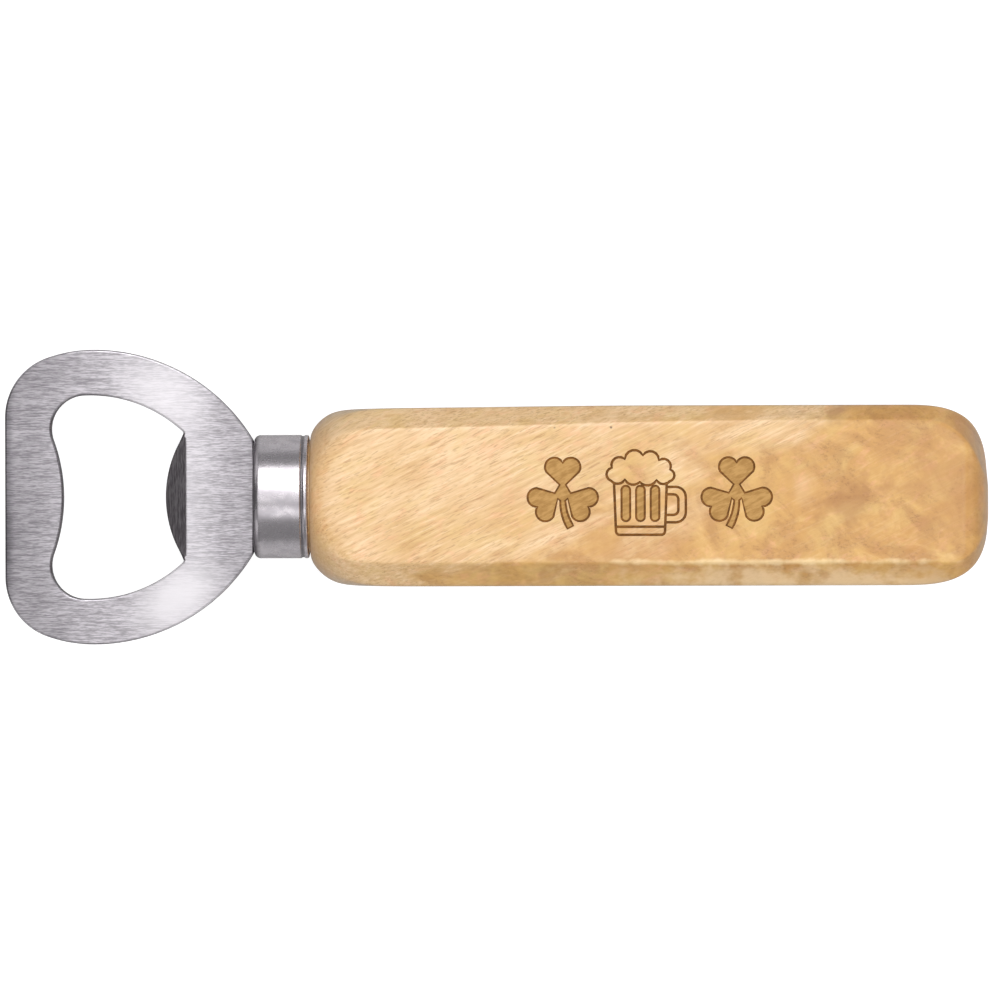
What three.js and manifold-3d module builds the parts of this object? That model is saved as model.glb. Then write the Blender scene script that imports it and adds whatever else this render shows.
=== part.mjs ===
// A souvenir bottle opener: a stamped steel head whose long tang is glued into a wooden
// handle, with a drawn steel ferrule over the place where the two meet.
//
// Millimetres. +X runs along the opener, from the head to the butt of the handle. +Z is up,
// out of the handle's decorated face. The origin is on the surface that the opener lies on,
// under the middle of its box.

import * as THREE from 'three';
import { mergeVertices } from 'three/addons/utils/BufferGeometryUtils.js';
import Module from 'manifold-3d';

const wasm = await Module();
wasm.setup();

// ---------------------------------------------------------------- driving dimensions

const LENGTH = 160;                    // tip of the head to the butt of the handle
const HEAD_LENGTH = 40.3;              // tip of the head to its shoulder, at the ferrule
const HEAD_WIDTH = 48;
const PLATE_THICKNESS = 3;
const HANDLE_WIDTH = 29.2;
const HANDLE_THICKNESS = 24;
const HANDLE_CHAMFER = 3.9;            // 45 degree flats along the handle's four long edges
const FERRULE_RADIUS = 10.05;
const FERRULE_LENGTH = 8.9;
const FERRULE_WALL = 0.55;
const GAP = 0.3;                       // kept between two pieces that touch

// The head's outline, all tangent arcs: a blunt straight tip, a corner, a crown and a flank.
const TIP_HALF_LENGTH = 13;            // of the straight tip
const CROWN_FROM_TIP = 14.5;           // where the head is widest
const CROWN_RADIUS = 23;
const FLANK_RADIUS = 30.1;

// The opening, which takes a 26 mm crown cap: arched sides, two lobes, and the fulcrum
// between them that presses on the top of the cap.
const OPENING_WIDTH = 33.2;
const ARCH_FROM_TIP = 13.7;            // where the opening is widest
const ARCH_RADIUS = 22.5;
const LOBE_FROM_TIP = 13;              // the centre of a lobe
const LOBE_RADIUS = 5.5;
const FULCRUM_FROM_TIP = 9.45;         // the peak of the fulcrum
const TONGUE_FROM_TIP = 29.4;          // the line that the tongue is bent down along

// The tongue that hooks under the rim of the cap.
const TONGUE_LENGTH = 4.4;
const TONGUE_ANGLE = THREE.MathUtils.degToRad(35);
const TONGUE_NOSE_RADIUS = 16.5;
const TONGUE_TIP_THICKNESS = 2.2;

// The tang, inside the handle.
const TANG_LENGTH = 46;
const TANG_WIDTH = 9;
const TANG_POINT = 2;                  // its end tapers by this much on each side
const NOTCH_WIDTH = 2.6;               // the glue keys into these
const NOTCH_DEPTH = 1.3;
const NOTCHES_FROM_SHOULDER = [16, 25, 34];
const GLUE_THICKNESS = 0.9;

// The ferrule's rolled end.
const FERRULE_CORNER = 0.8;
const CRIMP_FROM_END = 0.95;
const CRIMP_HALF_WIDTH = 0.35;
const CRIMP_DEPTH = 0.2;

// The handle's shoulder is turned round, from the ferrule out to the flats.
const SPIGOT_RADIUS = FERRULE_RADIUS - FERRULE_WALL - GAP;
const SHOULDER_RADIUS = 9.9;
const SHOULDER_BEND = { along: 0.6, radius: 13 };
const SHOULDER_LENGTH = 8.5;
const TURNED_RADIUS = 17;              // clears the corners of the eight-sided section

// In plan the butt is one full curve from side to side.
const BUTT_CURVE_LENGTH = 14.4;
const BUTT_FULLNESS = 0.78;            // 0.55 would be an ellipse, 1 a square corner

const TURN_SEGMENTS = 80;
const NOSE_SEGMENTS = 240;
const ARC_STEPS = 10;
const CORNER_STEPS = 5;
const ROOT = 1;                        // how far one shape reaches into another to join it

// ---------------------------------------------------------------- derived places along X

const TIP = -LENGTH / 2;
const BUTT = LENGTH / 2;
const HEAD_SHOULDER = TIP + HEAD_LENGTH;
const FERRULE_FRONT = HEAD_SHOULDER + GAP;
const FERRULE_BACK = FERRULE_FRONT + FERRULE_LENGTH;
const WOOD_SHOULDER = FERRULE_BACK + GAP;
const SPIGOT_FRONT = FERRULE_FRONT + FERRULE_WALL + GAP;
const TANG_END = HEAD_SHOULDER + TANG_LENGTH;
const BEND_LINE = TIP + TONGUE_FROM_TIP;

// ---------------------------------------------------------------- solids

function solidOf(geometry) {
    const bare = geometry.clone();
    bare.deleteAttribute('normal');
    bare.deleteAttribute('uv');
    const merged = mergeVertices(bare, 1e-4);
    return new wasm.Manifold(new wasm.Mesh({
        numProp: 3,
        vertProperties: new Float32Array(merged.attributes.position.array),
        triVerts: new Uint32Array(merged.index.array),
    }));
}

function geometryOf(solid) {
    const { vertProperties, triVerts } = solid.getMesh();
    const geometry = new THREE.BufferGeometry();
    geometry.setAttribute('position', new THREE.BufferAttribute(vertProperties, 3));
    geometry.setIndex(new THREE.BufferAttribute(triVerts, 1));
    return geometry;
}

// A flat shape in XY given height, centred on the XY plane.
function plate(shape, thickness) {
    const geometry = new THREE.ExtrudeGeometry(shape, {
        depth: thickness, bevelEnabled: false, curveSegments: ARC_STEPS,
    });
    return solidOf(geometry.translate(0, 0, -thickness / 2));
}

function block(x0, x1, width, thickness) {
    const geometry = new THREE.BoxGeometry(x1 - x0, width, thickness);
    return solidOf(geometry.translate((x0 + x1) / 2, 0, 0));
}

// A profile of (radius, place along X) points, turned about the X axis. Its outer side runs
// from low X to high X, so that the faces point outwards.
function turned(profile) {
    const geometry = new THREE.LatheGeometry(profile, TURN_SEGMENTS);
    return solidOf(geometry.rotateZ(-Math.PI / 2));
}

// A closed shape that is the same on both sides of the X axis, from its upper edge.
function mirrored(upper) {
    const offAxis = upper.filter((point) => point.y > 1e-6);
    const lower = offAxis.map((point) => new THREE.Vector2(point.x, -point.y)).reverse();
    return new THREE.Shape([...upper, ...lower]);
}

// ---------------------------------------------------------------- the head

function headOutline() {
    const crown = new THREE.Vector2(TIP + CROWN_FROM_TIP, HEAD_WIDTH / 2);
    const crownCentre = new THREE.Vector2(crown.x, crown.y - CROWN_RADIUS);
    const flankCentre = new THREE.Vector2(crown.x, crown.y - FLANK_RADIUS);

    // The corner arc touches the straight tip and, from inside, the crown arc.
    const rise = TIP_HALF_LENGTH - crownCentre.y;
    const corner = (CROWN_RADIUS ** 2 - CROWN_FROM_TIP ** 2 - rise ** 2)
        / (2 * (CROWN_RADIUS - CROWN_FROM_TIP));
    const cornerCentre = new THREE.Vector2(TIP + corner, TIP_HALF_LENGTH);
    const meet = cornerCentre.clone().sub(crownCentre).angle();

    const flankEnd = Math.acos((HEAD_SHOULDER - flankCentre.x) / FLANK_RADIUS);
    const path = new THREE.Path();
    path.absarc(flankCentre.x, flankCentre.y, FLANK_RADIUS, flankEnd, Math.PI / 2);
    path.absarc(crownCentre.x, crownCentre.y, CROWN_RADIUS, Math.PI / 2, meet);
    path.absarc(cornerCentre.x, cornerCentre.y, corner, meet, Math.PI);
    return mirrored(path.getPoints(ARC_STEPS));
}

function openingOutline() {
    const archCentre = new THREE.Vector2(TIP + ARCH_FROM_TIP, OPENING_WIDTH / 2 - ARCH_RADIUS);

    // A lobe touches the arch from inside.
    const lobeX = TIP + LOBE_FROM_TIP;
    const reach = ARCH_RADIUS - LOBE_RADIUS;
    const lobeY = archCentre.y + Math.sqrt(reach ** 2 - (lobeX - archCentre.x) ** 2);
    const lobeCentre = new THREE.Vector2(lobeX, lobeY);

    // The fulcrum is one arc that touches both lobes from outside.
    const back = LOBE_FROM_TIP - FULCRUM_FROM_TIP;
    const radius = (back ** 2 + lobeY ** 2 - LOBE_RADIUS ** 2) / (2 * (LOBE_RADIUS - back));
    const fulcrumCentre = new THREE.Vector2(TIP + FULCRUM_FROM_TIP - radius, 0);

    const archEnd = Math.acos((BEND_LINE - archCentre.x) / ARCH_RADIUS);
    const archMeet = lobeCentre.clone().sub(archCentre).angle();
    const lobeMeet = fulcrumCentre.clone().sub(lobeCentre).angle();
    const path = new THREE.Path();
    path.absarc(archCentre.x, archCentre.y, ARCH_RADIUS, archEnd, archMeet);
    path.absarc(lobeCentre.x, lobeCentre.y, LOBE_RADIUS, archMeet, lobeMeet);
    path.absarc(fulcrumCentre.x, 0, radius, lobeMeet - Math.PI, 0, true);
    return mirrored(path.getPoints(ARC_STEPS));
}

// The tang's edge, moved outwards by grow for the hollow that holds it.
function tangOutline(grow) {
    const side = TANG_WIDTH / 2 + grow;
    const upper = [new THREE.Vector2(HEAD_SHOULDER - ROOT, side)];
    for (const place of NOTCHES_FROM_SHOULDER) {
        const near = HEAD_SHOULDER + place - NOTCH_WIDTH / 2 + grow;
        const far = HEAD_SHOULDER + place + NOTCH_WIDTH / 2 - grow;
        upper.push(
            new THREE.Vector2(near, side),
            new THREE.Vector2(near, side - NOTCH_DEPTH),
            new THREE.Vector2(far, side - NOTCH_DEPTH),
            new THREE.Vector2(far, side),
        );
    }
    upper.push(
        new THREE.Vector2(TANG_END - TANG_POINT, side),
        new THREE.Vector2(TANG_END + grow, side - TANG_POINT),
    );
    return mirrored(upper);
}

// The tongue seen from the side, from inside the plate to its thinned tip.
function tongueSide() {
    const top = PLATE_THICKNESS / 2;
    const along = new THREE.Vector2(-Math.cos(TONGUE_ANGLE), -Math.sin(TONGUE_ANGLE));
    const down = new THREE.Vector2(-along.y, along.x);
    const tipTop = new THREE.Vector2(BEND_LINE, top).addScaledVector(along, TONGUE_LENGTH);
    const tipBottom = tipTop.clone().addScaledVector(down, TONGUE_TIP_THICKNESS);
    const innerBend = BEND_LINE + PLATE_THICKNESS * Math.tan(TONGUE_ANGLE / 2);
    return new THREE.Shape([
        new THREE.Vector2(innerBend + ROOT, top),
        new THREE.Vector2(BEND_LINE, top),
        tipTop,
        tipBottom,
        new THREE.Vector2(innerBend, -top),
        new THREE.Vector2(innerBend + ROOT, -top),
    ]);
}

function tongue() {
    const depth = OPENING_WIDTH;
    const strip = new THREE.ExtrudeGeometry(tongueSide(), { depth, bevelEnabled: false });
    strip.translate(0, 0, -depth / 2).rotateX(Math.PI / 2);

    // In plan the tongue has a round nose.
    const peak = BEND_LINE - TONGUE_LENGTH * Math.cos(TONGUE_ANGLE);
    const nose = new THREE.CylinderGeometry(
        TONGUE_NOSE_RADIUS, TONGUE_NOSE_RADIUS, 4 * PLATE_THICKNESS, NOSE_SEGMENTS);
    nose.rotateX(Math.PI / 2).translate(peak + TONGUE_NOSE_RADIUS, 0, 0);
    return solidOf(strip).intersect(solidOf(nose));
}

function openerHead() {
    return plate(headOutline(), PLATE_THICKNESS)
        .subtract(plate(openingOutline(), 2 * PLATE_THICKNESS))
        .add(tongue())
        .add(plate(tangOutline(0), PLATE_THICKNESS));
}

// ---------------------------------------------------------------- the ferrule

function ferrule() {
    const inner = FERRULE_RADIUS - FERRULE_WALL;
    const crimp = FERRULE_BACK - CRIMP_FROM_END;
    const path = new THREE.Path();
    path.moveTo(0, FERRULE_FRONT);
    path.lineTo(FERRULE_RADIUS - FERRULE_CORNER, FERRULE_FRONT);
    path.absarc(FERRULE_RADIUS - FERRULE_CORNER, FERRULE_FRONT + FERRULE_CORNER,
        FERRULE_CORNER, -Math.PI / 2, 0);
    path.lineTo(FERRULE_RADIUS, crimp - CRIMP_HALF_WIDTH);
    path.lineTo(FERRULE_RADIUS - CRIMP_DEPTH, crimp);
    path.lineTo(FERRULE_RADIUS, crimp + CRIMP_HALF_WIDTH);
    path.lineTo(FERRULE_RADIUS, FERRULE_BACK);
    path.lineTo(inner, FERRULE_BACK);
    path.lineTo(inner, FERRULE_FRONT + FERRULE_WALL);
    path.lineTo(0, FERRULE_FRONT + FERRULE_WALL);
    const slot = plate(tangOutline(GAP), PLATE_THICKNESS + 2 * GAP);
    return turned(path.getPoints(CORNER_STEPS)).subtract(slot);
}

// ---------------------------------------------------------------- the handle and its glue

// Seen from above: straight sides and a full round butt. It starts short of the spigot,
// because the turning cuts its other end.
function handlePlan() {
    const side = HANDLE_WIDTH / 2;
    const curveStart = BUTT - BUTT_CURVE_LENGTH;
    const path = new THREE.Path();
    path.moveTo(SPIGOT_FRONT - HANDLE_WIDTH, side);
    path.lineTo(curveStart, side);
    path.bezierCurveTo(
        curveStart + BUTT_FULLNESS * BUTT_CURVE_LENGTH, side,
        BUTT, BUTT_FULLNESS * side,
        BUTT, 0);
    return mirrored(path.getPoints(2 * ARC_STEPS));
}

// The shoulder and the spigot that the ferrule goes over. Behind them it clears the handle.
function shoulderTurning() {
    const path = new THREE.Path();
    path.moveTo(0, SPIGOT_FRONT);
    path.lineTo(SPIGOT_RADIUS, SPIGOT_FRONT);
    path.lineTo(SPIGOT_RADIUS, WOOD_SHOULDER);
    path.lineTo(SHOULDER_RADIUS, WOOD_SHOULDER);
    path.quadraticCurveTo(SHOULDER_BEND.radius, WOOD_SHOULDER + SHOULDER_BEND.along,
        TURNED_RADIUS, WOOD_SHOULDER + SHOULDER_LENGTH);
    path.lineTo(TURNED_RADIUS, BUTT + TURNED_RADIUS);
    path.lineTo(0, BUTT + TURNED_RADIUS);
    return turned(path.getPoints(ARC_STEPS));
}

function glueBlock(grow) {
    const width = TANG_WIDTH + 2 * (GAP + GLUE_THICKNESS + grow);
    const thickness = PLATE_THICKNESS + 2 * (GAP + GLUE_THICKNESS + grow);
    const end = TANG_END + GAP + GLUE_THICKNESS + grow;
    return block(SPIGOT_FRONT - grow, end, width, thickness);
}

function handle() {
    const depth = HANDLE_THICKNESS - 2 * HANDLE_CHAMFER;
    const bar = new THREE.ExtrudeGeometry(handlePlan(), {
        depth,
        bevelThickness: HANDLE_CHAMFER,
        bevelSize: HANDLE_CHAMFER,
        bevelOffset: -HANDLE_CHAMFER,
        bevelSegments: 1,
    });
    bar.translate(0, 0, -depth / 2);
    return solidOf(bar).intersect(shoulderTurning()).subtract(glueBlock(GAP));
}

function tangGlue() {
    return glueBlock(0).subtract(plate(tangOutline(GAP), PLATE_THICKNESS + 2 * GAP));
}

// ---------------------------------------------------------------- the assembly

const brushedSteel = new THREE.MeshStandardMaterial({
    color: 0xb9b5ba, roughness: 0.38, metalness: 1,
});
const satinSteel = new THREE.MeshStandardMaterial({
    color: 0xbcbabf, roughness: 0.25, metalness: 1,
});
const lacqueredWood = new THREE.MeshStandardMaterial({
    color: 0xe6c08a, roughness: 0.45, metalness: 0,
});
const amberEpoxy = new THREE.MeshStandardMaterial({
    color: 0xc9a24f, roughness: 0.3, metalness: 0,
});

const opener = new THREE.Group();
opener.position.z = HANDLE_THICKNESS / 2;

function addPiece(name, solid, material) {
    const mesh = new THREE.Mesh(geometryOf(solid), material);
    mesh.name = name;
    opener.add(mesh);
}

addPiece('opener_head', openerHead(), brushedSteel);
addPiece('ferrule', ferrule(), satinSteel);
addPiece('handle', handle(), lacqueredWood);
addPiece('tang_glue', tangGlue(), amberEpoxy);

export default opener;
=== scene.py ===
# %% [markdown]
# # A souvenir bottle opener
#
# A stamped steel head bites the crown cap. Its tang runs back through a drawn steel ferrule into
# a wooden handle, where epoxy holds it. The handle carries a small burnt-in picture of a mug of
# beer between two shamrocks. This file builds the looks of all four pieces around the measured
# model, which stays as it is.

# %% Load the measured model
import math

import bmesh
import bpy
from mathutils import Matrix, Vector


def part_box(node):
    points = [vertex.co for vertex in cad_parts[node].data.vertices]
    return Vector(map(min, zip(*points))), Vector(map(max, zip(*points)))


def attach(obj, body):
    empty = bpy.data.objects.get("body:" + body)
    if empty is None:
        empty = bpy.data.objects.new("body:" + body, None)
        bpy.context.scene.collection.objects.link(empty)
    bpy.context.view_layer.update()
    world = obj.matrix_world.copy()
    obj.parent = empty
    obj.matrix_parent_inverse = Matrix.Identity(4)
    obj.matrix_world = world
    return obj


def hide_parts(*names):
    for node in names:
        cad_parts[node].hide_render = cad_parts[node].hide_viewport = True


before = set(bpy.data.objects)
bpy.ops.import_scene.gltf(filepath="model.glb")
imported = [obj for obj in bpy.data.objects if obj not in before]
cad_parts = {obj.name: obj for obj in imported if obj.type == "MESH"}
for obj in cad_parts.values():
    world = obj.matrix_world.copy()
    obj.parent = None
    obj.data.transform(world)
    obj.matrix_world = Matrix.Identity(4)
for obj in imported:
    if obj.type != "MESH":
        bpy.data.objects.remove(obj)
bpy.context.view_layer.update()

# %% [markdown]
# ## The bench
#
# Small objects are easier to think about in millimetres, so every piece is shaped in
# millimetres around the long axis of the handle. At the end it is scaled to metres and lifted
# to the height at which the measured pieces lie. The main stations along that axis are read
# from the measured pieces, so that the new ones fit them. Glued neighbours keep a small gap, but
# the head's shoulders sit almost on the ferrule.

# %% Stations along the opener
MM = 0.001


def box_in_mm(node):
    """The lowest and highest corner of a measured piece, in millimetres."""
    low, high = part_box(node)
    return low / MM, high / MM


head_low, head_high = box_in_mm("opener_head")
ferrule_low, ferrule_high = box_in_mm("ferrule")
handle_low, handle_high = box_in_mm("handle")

AXIS_HEIGHT = (handle_low.z + handle_high.z) / 2
TIP = head_low.x
TANG_END = head_high.x
FERRULE_FRONT = ferrule_low.x
FERRULE_BACK = ferrule_high.x
SPIGOT_FRONT = handle_low.x
BUTT = handle_high.x
GAP = 0.3
SEAT = 0.06
HEAD_SHOULDER = FERRULE_FRONT - SEAT
WOOD_SHOULDER = FERRULE_BACK + GAP
BEND_LINE = TIP + 29.4
print("axis height", round(AXIS_HEIGHT, 3), "tip", round(TIP, 3), "butt", round(BUTT, 3))

# %% [markdown]
# A bench needs a way to draw outlines. A vertex that is extruded leaves a straight edge behind
# it, and a vertex that is spun about a centre leaves an arc. Those two strokes are enough for
# every outline here.

# %% Two strokes for drawing outlines
def start_line(mesh, x, y, z=0.0):
    """Put down the pen: one vertex."""
    return mesh.verts.new((x, y, z))


def line_to(mesh, pen, x, y, steps=1):
    """Draw a straight line to a point, in equal steps."""
    start = pen.co.copy()
    for step in range(1, steps + 1):
        pen = bmesh.ops.extrude_vert_indiv(mesh, verts=[pen])["verts"][0]
        pen.co = start.lerp(Vector((x, y, start.z)), step / steps)
    return pen


def arc_about(mesh, pen, centre, degrees, steps=12):
    """Draw an arc about a centre, to the left for positive degrees."""
    swept = bmesh.ops.spin(
        mesh, geom=[pen], cent=(centre[0], centre[1], pen.co.z), axis=(0, 0, 1),
        angle=math.radians(degrees), steps=steps,
    )
    return [item for item in swept["geom_last"] if isinstance(item, bmesh.types.BMVert)][0]


def bulge_to(mesh, pen, x, y, degrees, steps=10):
    """Draw an arc of so many degrees that ends at a point."""
    start, end = pen.co.xy, Vector((x, y))
    chord = end - start
    middle = (start + end) / 2
    rise = chord.length / 2 / math.tan(math.radians(degrees) / 2)
    centre = middle + Vector((-chord.y, chord.x)).normalized() * rise
    return arc_about(mesh, pen, centre, degrees, steps)


def angle_of(vector):
    return math.degrees(math.atan2(vector[1], vector[0]))


# %% Closing, thickening and finishing a piece
def fill_outline(mesh):
    """Join the ends of a drawn outline and fill it with one face that looks up."""
    bmesh.ops.remove_doubles(mesh, verts=mesh.verts, dist=1e-4)
    face = bmesh.ops.contextual_create(mesh, geom=mesh.edges[:])["faces"][0]
    face.normal_update()
    if face.normal.z < 0:
        bmesh.ops.reverse_faces(mesh, faces=[face])
    return face


def thicken(mesh, faces, depth):
    """Pull flat faces down into a solid."""
    pulled = bmesh.ops.extrude_face_region(mesh, geom=faces)["geom"]
    verts = [item for item in pulled if isinstance(item, bmesh.types.BMVert)]
    bmesh.ops.translate(mesh, verts=verts, vec=(0, 0, -depth))
    bmesh.ops.recalc_face_normals(mesh, faces=mesh.faces)
    return verts


def to_object(name, mesh):
    """Scale a finished mesh to metres, lift it to the axis and make it an object."""
    bmesh.ops.scale(mesh, vec=(MM, MM, MM), verts=mesh.verts)
    bmesh.ops.translate(mesh, vec=(0, 0, AXIS_HEIGHT * MM), verts=mesh.verts)
    data = bpy.data.meshes.new(name)
    mesh.to_mesh(data)
    mesh.free()
    piece = bpy.data.objects.new(name, data)
    bpy.context.scene.collection.objects.link(piece)
    return piece


def cut_away(piece, cutter, self_crossing=False):
    """Take a cutter out of a piece, and throw the cutter away."""
    boolean = piece.modifiers.new("cut", "BOOLEAN")
    boolean.operation = "DIFFERENCE"
    boolean.solver = "EXACT"
    boolean.object = cutter
    boolean.use_self = self_crossing
    boolean.material_mode = "TRANSFER"
    bpy.context.view_layer.update()
    graph = bpy.context.evaluated_depsgraph_get()
    result = bpy.data.meshes.new_from_object(piece.evaluated_get(graph))
    piece.modifiers.clear()
    old = piece.data
    piece.data = result
    result.name = piece.name
    bpy.data.meshes.remove(old)
    bpy.data.objects.remove(cutter)


def hand_over(piece, node):
    """Let a finished piece stand for its measured piece."""
    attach(piece, "root")
    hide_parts(node)
    low = [round(min(v.co[i] for v in piece.data.vertices) / MM, 2) for i in range(3)]
    high = [round(max(v.co[i] for v in piece.data.vertices) / MM, 2) for i in range(3)]
    print(piece.name, len(piece.data.polygons), "faces, from", low, "to", high)


# %% [markdown]
# ## Finishes
#
# A finish is a graph of nodes. These short helpers put a node down and wire it up, so that each
# finish below can be read as a recipe. All patterns are worked out from Object coordinates:
# they run through the solid like real grain, and stay put when the view changes.

# %% Helpers for finishes
def new_finish(name):
    """An empty finish, and its shader."""
    finish = bpy.data.materials.new(name)
    finish.use_nodes = True
    return finish, finish.node_tree.nodes["Principled BSDF"]


def put(finish, kind, inputs=None, **settings):
    """Put down a node, set it up, and feed its inputs with numbers or other nodes' outputs."""
    node = finish.node_tree.nodes.new(kind)
    for key, value in settings.items():
        setattr(node, key, value)
    for key, value in (inputs or {}).items():
        if isinstance(value, bpy.types.NodeSocket):
            finish.node_tree.links.new(value, node.inputs[key])
        else:
            node.inputs[key].default_value = value
    return node


def stretched(finish, per_mm, turn=(0, 0, 0), shift=(0, 0, 0)):
    """Object coordinates, turned and then scaled: a pattern repeats so many times in a mm."""
    place = put(finish, "ShaderNodeTexCoord").outputs["Object"]
    turned = put(
        finish, "ShaderNodeMapping",
        {"Vector": place, "Rotation": [math.radians(a) for a in turn]},
    ).outputs[0]
    scale = [n / MM for n in per_mm]
    return put(
        finish, "ShaderNodeMapping", {"Vector": turned, "Scale": scale, "Location": shift},
    ).outputs[0]


def clouds(finish, vector, detail=2.0, roughness=0.5, distortion=0.0, scale=1.0):
    """A cloudy noise from 0 to 1."""
    return put(
        finish, "ShaderNodeTexNoise",
        {"Vector": vector, "Scale": scale, "Detail": detail, "Roughness": roughness,
         "Distortion": distortion},
    ).outputs["Fac"]


def between(finish, value, low, high, to_low=0.0, to_high=1.0):
    """Spread the stretch from low to high of a value smoothly over a new stretch."""
    return put(
        finish, "ShaderNodeMapRange",
        {"Value": value, "From Min": low, "From Max": high, "To Min": to_low,
         "To Max": to_high},
        interpolation_type="SMOOTHSTEP",
    ).outputs["Result"]


def sums(finish, operation, a, b):
    """Arithmetic on two values."""
    return put(finish, "ShaderNodeMath", {0: a, 1: b}, operation=operation).outputs[0]


def spot(finish, centre, size, turn=0, ragged=0.0, fringe_scale=0.25):
    """An oval spot: 1 in its middle and 0 outside. Centre and half sizes are in mm."""
    place = put(finish, "ShaderNodeTexCoord").outputs["Object"]
    local = put(
        finish, "ShaderNodeMapping",
        {"Vector": place, "Location": [n * MM for n in centre], "Scale": [n * MM for n in size],
         "Rotation": (0, 0, math.radians(turn))},
        vector_type="TEXTURE",
    ).outputs[0]
    distance = put(finish, "ShaderNodeVectorMath", {0: local}, operation="LENGTH").outputs["Value"]
    if ragged:
        fringe = clouds(finish, stretched(finish, (fringe_scale,) * 3), 3, 0.6)
        wobble = between(finish, fringe, 0.2, 0.8, -ragged, ragged)
        distance = sums(finish, "ADD", distance, wobble)
    return between(finish, distance, 0.1, 1.0, 1.0, 0.0)


def blend_colours(finish, amount, first, second, way="MIX"):
    """Lay one colour over another."""
    return put(
        finish, "ShaderNodeMix", {0: amount, 6: first, 7: second},
        data_type="RGBA", blend_type=way,
    ).outputs[2]


def colour(red, green, blue):
    """A colour as a painter's 0 to 255 chart gives it, made linear for the shader."""
    def linear(n):
        n = n / 255
        return n / 12.92 if n <= 0.04045 else ((n + 0.055) / 1.055) ** 2.4
    return (linear(red), linear(green), linear(blue), 1.0)


# %% [markdown]
# ## Brushed steel
#
# The head is sheet steel that was rubbed along its length with an abrasive belt. The belt
# leaves fine scratches, a millimetre or two long and a tenth of a millimetre wide. Long thin
# noise gives both their shade and their relief.

# %% A recipe for scratched steel
def brushed_steel(name, scratch, dark, light):
    """Steel with scratches of a given size in mm, along X, Y and Z."""
    finish, shader = new_finish(name)
    fine = clouds(finish, stretched(finish, [1 / n for n in scratch]), 2, 0.6)
    long = clouds(
        finish, stretched(finish, [0.3 / n if n == max(scratch) else 0.6 / n for n in scratch],
                          shift=(5, 3, 1)), 2, 0.5)
    scratches = sums(finish, "ADD", sums(finish, "MULTIPLY", fine, 0.6),
                     sums(finish, "MULTIPLY", long, 0.4))
    steel = blend_colours(
        finish, between(finish, scratches, 0.39, 0.61), colour(*dark), colour(*light))
    relief = put(
        finish, "ShaderNodeBump",
        {"Height": scratches, "Strength": 0.4, "Distance": 0.03 * MM})
    finish.node_tree.links.new(relief.outputs[0], shader.inputs["Normal"])
    finish.node_tree.links.new(
        between(finish, scratches, 0.3, 0.7, 0.38, 0.3), shader.inputs["Roughness"])
    shader.inputs["Metallic"].default_value = 1.0
    return finish, shader, steel


# %% [markdown]
# The belt never presses evenly, so the head is a little cloudy. Painted shade darkens it towards
# the tip, along its front edge and towards the ferrule, and three painted highlights make broad
# patches nearly white.

# %% Brushed steel for the head
head_steel, shader, steel = brushed_steel(
    "brushed_steel", (1.2, 0.115, 0.115), (172, 167, 173), (234, 229, 235))
place = put(head_steel, "ShaderNodeTexCoord").outputs["Object"]
along_x = put(head_steel, "ShaderNodeSeparateXYZ", {0: place}).outputs["X"]
cloudy = clouds(head_steel, stretched(head_steel, (0.09, 0.12, 0.12), shift=(2, 1, 0)), 2, 0.5)
# Painted shade: darker towards the tip, along the front edge and towards the ferrule; the clouds
# are the steel's own uneven tone.
painted_shade_and_clouds = between(head_steel, along_x, (TIP - 3) * MM, (TIP + 20) * MM, 0.36, 0.0)
painted_shade_and_clouds = sums(head_steel, "ADD", painted_shade_and_clouds, between(head_steel, cloudy, 0.35, 0.7, 0.0, 0.16))
painted_shade_by_ferrule = between(
    head_steel, along_x, (BEND_LINE + 1) * MM, HEAD_SHOULDER * MM, 0.0, 0.16)
painted_shade_and_clouds = sums(head_steel, "ADD", painted_shade_and_clouds, painted_shade_by_ferrule)
painted_shade_at_tip = between(head_steel, along_x, (TIP + 0.2) * MM, (TIP + 1.8) * MM, 0.28, 0.0)
painted_shade_and_clouds = sums(head_steel, "ADD", painted_shade_and_clouds, painted_shade_at_tip)
steel = blend_colours(head_steel, painted_shade_and_clouds, steel, colour(60, 56, 62))

# Painted highlights: three broad patches, one of them by the bend, brightened nearly to white in
# the colour.
for centre, size, turn, strength in (
        ((TIP + 25.5, 17.0, AXIS_HEIGHT), (12, 8.5, 14), -35, 0.65),
        ((TIP + 28, -16.5, AXIS_HEIGHT), (12, 7, 14), 33, 0.92),
        ((BEND_LINE - 1, 0, AXIS_HEIGHT), (8, 30, 14), 0, 0.4)):
    polished = sums(head_steel, "MULTIPLY", spot(head_steel, centre, size, turn), strength)
    steel = blend_colours(head_steel, polished, steel, colour(255, 251, 255))
head_steel.node_tree.links.new(steel, shader.inputs["Base Color"])

# %% [markdown]
# Two darker steels go with it, and both carry painted shade. The tongue was ground across its
# length, and its dark tone is painted shade of its slope down and away from the light. The walls
# were sheared by the punch, which leaves fine streaks through the thickness of the plate; their
# dark tone is partly that rough surface and partly painted shade.

# %% Ground steel for the tongue, sheared steel for the walls, both with painted shade
# Painted shade: the tongue's steel is darker than the head's, for the shade on its slope.
shaded_tongue_steel, shader, steel = brushed_steel(
    "ground_steel_painted_shade", (0.16, 1.6, 1.6), (124, 118, 123), (178, 172, 177))
shaded_tongue_steel.node_tree.links.new(steel, shader.inputs["Base Color"])

# Painted shade: the walls' steel is darker, partly for their rough sheared surface and partly for
# the shade on them.
shaded_sheared_steel, shader, steel = brushed_steel(
    "shaded_sheared_steel", (0.15, 0.15, 4.0), (84, 80, 84), (118, 112, 117))
shaded_sheared_steel.node_tree.links.new(steel, shader.inputs["Base Color"])
print("steels:", head_steel.name, shaded_tongue_steel.name, shaded_sheared_steel.name)
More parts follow.
